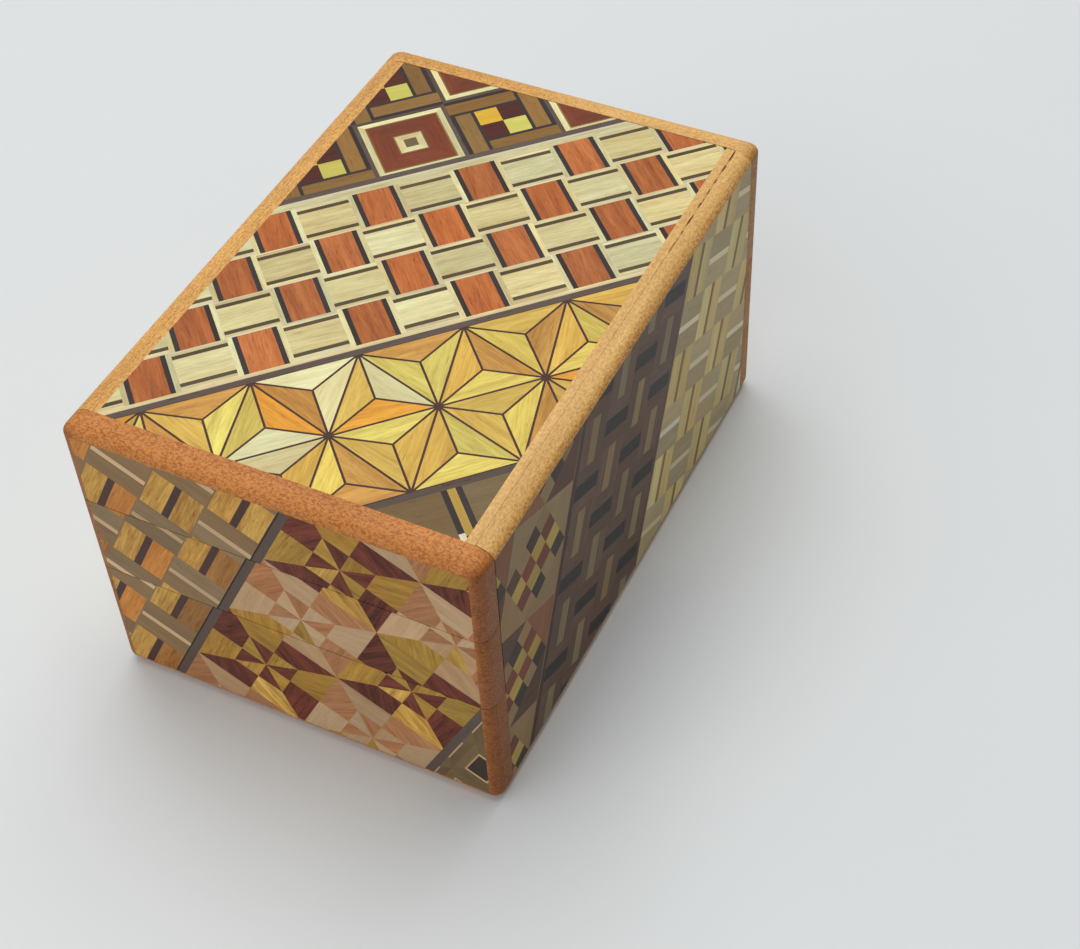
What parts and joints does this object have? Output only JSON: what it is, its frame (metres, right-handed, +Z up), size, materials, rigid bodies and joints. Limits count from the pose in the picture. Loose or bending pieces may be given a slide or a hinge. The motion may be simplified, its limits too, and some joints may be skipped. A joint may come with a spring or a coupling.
{
  "type": "wooden puzzle box",
  "caption": "Oblong wooden puzzle box covered in geometric marquetry, with rounded bare-wood edges, sliding keys in its ends and a lid that slides open.",
  "frame": {"origin": "centre of the underside that the box stands on", "axes": "+X runs along the length from the front end to the back end, +Y to the left long side, +Z up"},
  "size_m": [0.099, 0.067, 0.054],
  "materials": {
    "edge_wood": "satin, fine speckled grain",
    "inner_wood": "planed, unvarnished",
    "key_hardwood": "planed hardwood",
    "lid_marquetry": "satin marquetry veneer of yellow, orange and cream woods",
    "base_marquetry": "satin marquetry veneer of olive, cream and brown woods",
    "end_marquetry": "satin marquetry veneer of red-brown, mustard and beige woods",
    "side_marquetry": "satin marquetry veneer of taupe, black and olive woods"
  },
  "bodies": {
    "frame": {"inner_end_front": "inner_wood", "front_fixed_strip": "edge_wood", "front_fixed_strip_skin": "end_marquetry", "inner_end_back": "inner_wood", "back_fixed_strip": "edge_wood", "back_fixed_strip_skin": "end_marquetry", "side_board_right": "edge_wood", "side_skin_right": "side_marquetry", "inner_side_right": "inner_wood", "side_board_left": "edge_wood", "side_skin_left": "side_marquetry", "inner_side_left": "inner_wood", "inner_floor": "inner_wood"},
    "lid": {"lid_plate": "edge_wood", "lid_runner": "inner_wood", "lid_skin": "lid_marquetry", "lid_end_strip": "edge_wood", "lid_end_strip_skin": "end_marquetry"},
    "base": {"base_plate": "edge_wood", "base_runner": "inner_wood", "base_skin": "base_marquetry", "base_end_strip": "edge_wood", "base_end_strip_skin": "end_marquetry", "base_stop": "key_hardwood"},
    "front_key": {"front_key": "edge_wood", "front_key_skin": "end_marquetry", "front_key_tongue": "key_hardwood", "front_key_peg": "key_hardwood"},
    "back_key": {"back_key": "edge_wood", "back_key_skin": "end_marquetry", "back_key_tongue": "key_hardwood", "back_key_peg": "key_hardwood"}
  },
  "joints": [
    {"name": "lid_slide", "type": "slide", "parent": "frame", "child": "lid", "axis": [-1, 0, 0], "range_m": [0, 0.08]},
    {"name": "base_slide", "type": "slide", "parent": "frame", "child": "base", "axis": [1, 0, 0], "range_m": [0, 0.006]},
    {"name": "front_key_slide", "type": "slide", "parent": "frame", "child": "front_key", "axis": [0, -1, 0], "range_m": [0, 0.004]},
    {"name": "back_key_slide", "type": "slide", "parent": "frame", "child": "back_key", "axis": [0, -1, 0], "range_m": [0, 0.004]}
  ]
}
